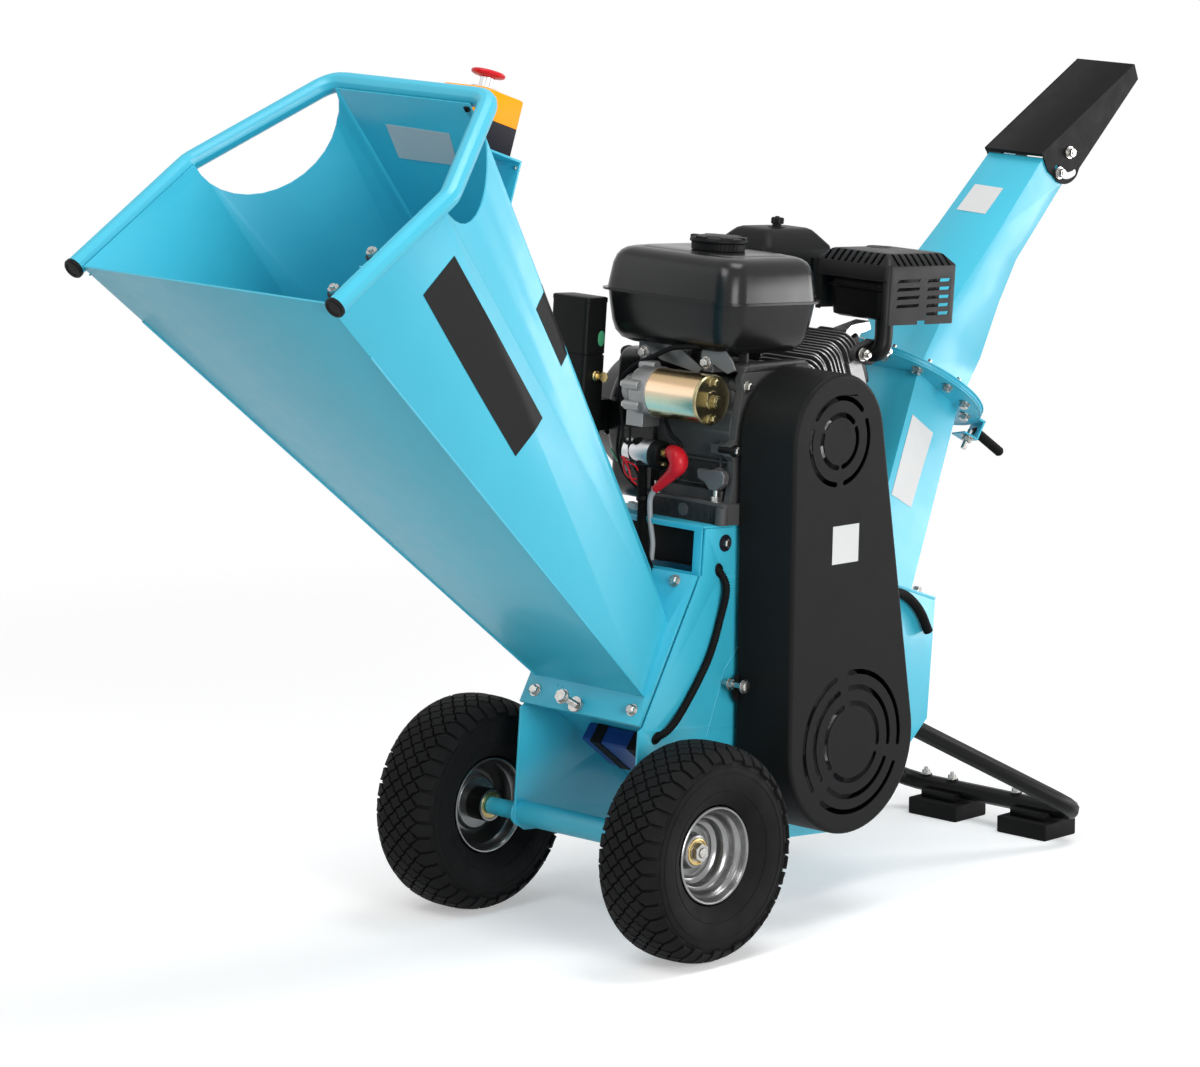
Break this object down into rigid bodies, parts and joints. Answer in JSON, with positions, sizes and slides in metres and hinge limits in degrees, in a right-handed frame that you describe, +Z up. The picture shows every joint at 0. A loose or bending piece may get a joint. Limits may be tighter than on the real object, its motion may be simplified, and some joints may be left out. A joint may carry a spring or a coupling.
{
  "type": "chipper shredder",
  "caption": "Wheeled petrol wood chipper: sheet hopper into a belt driven drum, swivelling discharge chute with tilting deflector, engine with electric start, leg stand.",
  "frame": {"origin": "on the ground under the centre of the machine's box", "axes": "+Z up, -Y towards the hopper's mouth, +Y towards the discharge chute and the leg, +X towards the belt guard"},
  "size_m": [0.494, 1.698, 1.1243],
  "materials": {
    "paint_blue": "gloss",
    "paint_black": "satin",
    "tyre_rubber": "matte",
    "rubber": "matte",
    "black_plastic": "satin",
    "bright_steel": "satin",
    "rim_silver": "satin",
    "cast_aluminium": "cast",
    "yellow_zinc": "satin",
    "red_plastic": "gloss",
    "yellow_plastic": "gloss",
    "battery_blue": "satin",
    "brass": "satin"
  },
  "bodies": {
    "chassis": {"air_cleaner": "black_plastic", "anvil_knife": "bright_steel", "axle": "paint_blue", "battery": "battery_blue", "belt_guard": "paint_black", "carburettor": "cast_aluminium", "control_box": "black_plastic", "crankcase": "cast_aluminium", "cylinder_head": "cast_aluminium", "drive_belt": "rubber", "drum_bearing_left": "cast_aluminium", "drum_bearing_right": "cast_aluminium", "drum_hood": "paint_blue", "drum_housing": "paint_blue", "engine_deck": "paint_blue", "face_plate": "paint_blue", "fan_housing": "paint_black", "foot_left": "rubber", "foot_right": "rubber", "fuel_tank": "paint_black", "guard_back_plate": "paint_black", "hopper_shell": "paint_blue", "leg_frame": "paint_black", "lock_bolt": "bright_steel", "lower_chute": "paint_blue", "mouth_tube": "paint_blue", "muffler": "paint_black", "rear_hose": "rubber", "side_plate_left": "paint_blue", "side_plate_right": "paint_blue", "starter_motor": "yellow_zinc", "stop_base": "black_plastic", "stop_bracket": "paint_blue", "stop_cover": "yellow_plastic", "throat_floor": "paint_blue", "tube_cap_left": "black_plastic", "tube_cap_right": "black_plastic", "wiring_conduit": "rubber"},
    "wheel_left": {"tyre_left": "tyre_rubber", "rim_left": "rim_silver", "wheel_bearing_left": "brass"},
    "wheel_right": {"tyre_right": "tyre_rubber", "rim_right": "rim_silver", "wheel_bearing_right": "brass"},
    "rotor": {"cutting_drum": "bright_steel", "drum_knife_a": "bright_steel", "drum_knife_b": "bright_steel", "drum_shaft": "bright_steel", "drum_pulley": "cast_aluminium"},
    "clutch": {"clutch_pulley": "cast_aluminium"},
    "chute_top": {"upper_chute": "paint_blue", "chute_handle": "black_plastic"},
    "deflector": {"deflector": "paint_black"},
    "stop_button": {"stop_button": "red_plastic"},
    "fuel_cap": {"fuel_cap": "black_plastic"},
    "air_cleaner_knob": {"air_cleaner_knob": "black_plastic"},
    "oil_dipstick": {"oil_dipstick": "black_plastic"},
    "throttle_lever": {"throttle_lever": "bright_steel"},
    "starter_key": {"starter_key": "brass"},
    "starter_grip": {"starter_grip": "black_plastic"}
  },
  "joints": [
    {"name": "wheel_left_spin", "type": "hinge", "parent": "chassis", "child": "wheel_left", "pos_m": [-0.197, -0.19723, 0.14], "axis": [1, 0, 0], "continuous": true},
    {"name": "wheel_right_spin", "type": "hinge", "parent": "chassis", "child": "wheel_right", "pos_m": [0.197, -0.19723, 0.14], "axis": [1, 0, 0], "continuous": true},
    {"name": "rotor_spin", "type": "hinge", "parent": "chassis", "child": "rotor", "pos_m": [0, 0.08976, 0.23405], "axis": [1, 0, 0], "continuous": true},
    {"name": "clutch_spin", "type": "hinge", "parent": "chassis", "child": "clutch", "pos_m": [0, 0.06279, 0.62799], "axis": [1, 0, 0], "continuous": true},
    {"name": "chute_swivel", "type": "hinge", "parent": "chassis", "child": "chute_top", "pos_m": [0, 0.42273, 0.63796], "axis": [0, 0.5736, 0.8192], "range_deg": [-45, 45]},
    {"name": "deflector_tilt", "type": "hinge", "parent": "chute_top", "child": "deflector", "pos_m": [0, 0.70213, 0.9229], "axis": [1, 0, 0], "range_deg": [-50, 5]},
    {"name": "stop_press", "type": "slide", "parent": "chassis", "child": "stop_button", "axis": [0, 0.342, 0.9397], "range_m": [-0.005, 0], "stiffness_N_per_m": 800, "springref_m": 0.004},
    {"name": "fuel_cap_turn", "type": "hinge", "parent": "chassis", "child": "fuel_cap", "pos_m": [0.01, 0.04687, 0.86478], "axis": [0, 0.0872, 0.9962], "continuous": true},
    {"name": "air_cleaner_knob_turn", "type": "hinge", "parent": "chassis", "child": "air_cleaner_knob", "pos_m": [-0.07, 0.24759, 0.86429], "axis": [0, 0.0872, 0.9962], "continuous": true},
    {"name": "dipstick_turn", "type": "hinge", "parent": "chassis", "child": "oil_dipstick", "pos_m": [0.062, 0.14658, 0.52098], "axis": [0, 0.9962, -0.0872], "continuous": true},
    {"name": "throttle_swing", "type": "hinge", "parent": "chassis", "child": "throttle_lever", "pos_m": [-0.092, 0.16145, 0.70589], "axis": [0, 0.0872, 0.9962], "range_deg": [-10, 18]},
    {"name": "key_turn", "type": "hinge", "parent": "chassis", "child": "starter_key", "pos_m": [-0.0947, -0.06656, 0.69271], "axis": [-1, 0, 0], "range_deg": [0, 60]},
    {"name": "starter_pull", "type": "slide", "parent": "chassis", "child": "starter_grip", "axis": [-0.7999, 0.2485, 0.5463], "range_m": [0, 0.5], "stiffness_N_per_m": 20}
  ],
  "couplings": [
    {"joint": "clutch_spin", "follows": "rotor_spin", "ratio": 1.6364}
  ]
}
